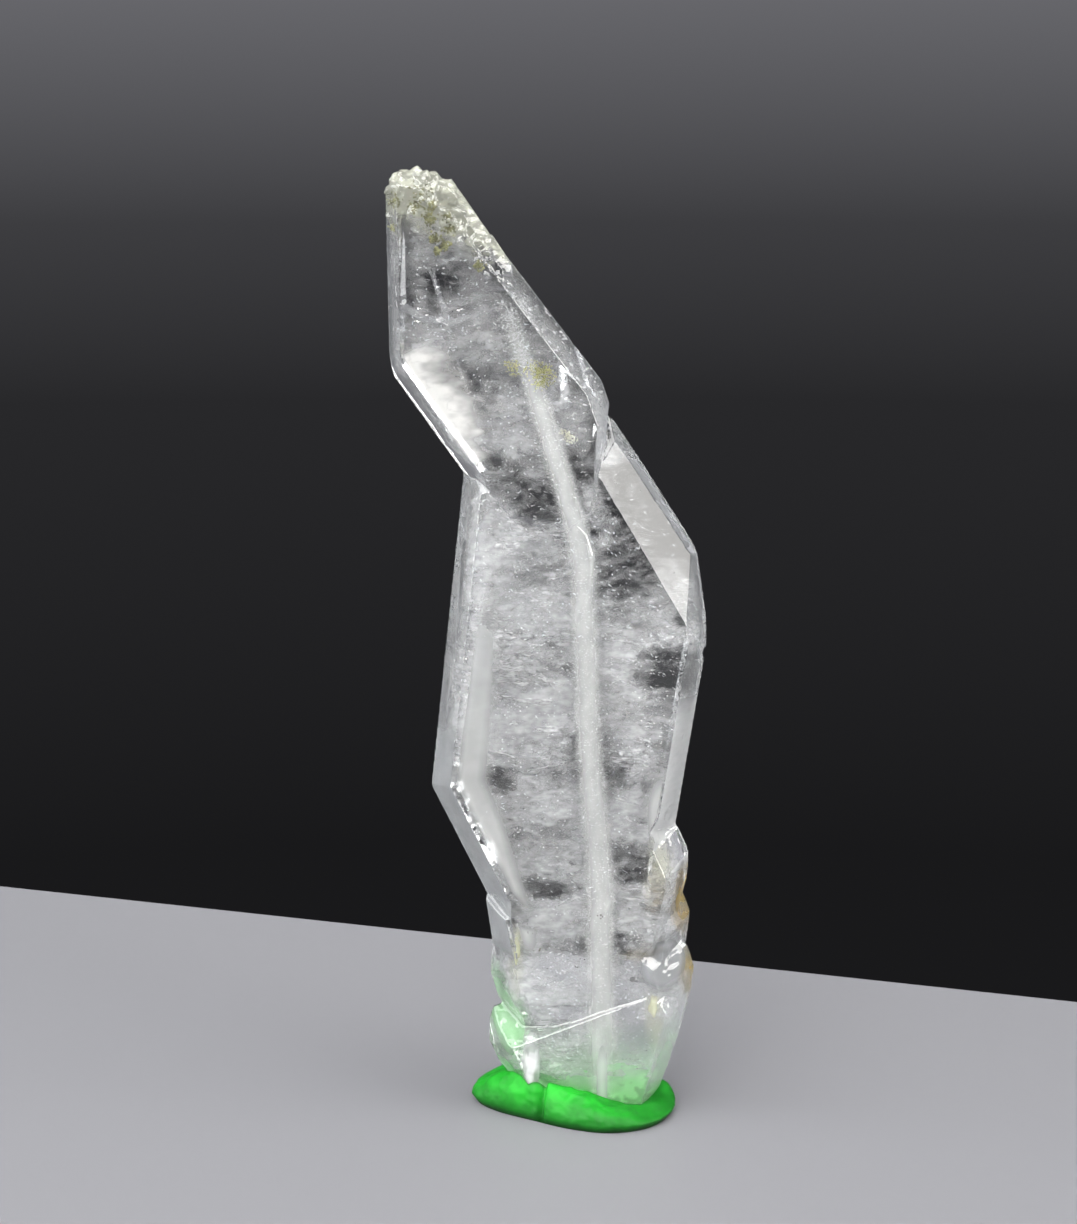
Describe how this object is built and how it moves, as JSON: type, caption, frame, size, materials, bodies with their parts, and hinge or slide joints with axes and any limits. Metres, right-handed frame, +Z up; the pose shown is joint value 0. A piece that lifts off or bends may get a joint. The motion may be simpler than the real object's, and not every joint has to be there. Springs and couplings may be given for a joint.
{
  "type": "faden quartz crystal specimen",
  "caption": "Tall, flat, clear quartz cluster with a white thread down its middle, bent in three overlapping plates, standing in a small pad of green mounting putty.",
  "frame": {"origin": "on the surface the putty rests on, under the middle of the specimen's box", "axes": "+Z up along the crystal's length, -Y out of its flat front side, +X to the right seen from the front"},
  "size_m": [0.0237, 0.012, 0.0724],
  "materials": {
    "clear_quartz": "clear natural quartz with milky veils, bright edges and a crust of chlorite on the tip",
    "green_putty": "soft satin mounting putty, pressed by fingers"
  },
  "bodies": {
    "root": {"crystal": "clear_quartz", "putty": "green_putty"}
  },
  "joints": []
}
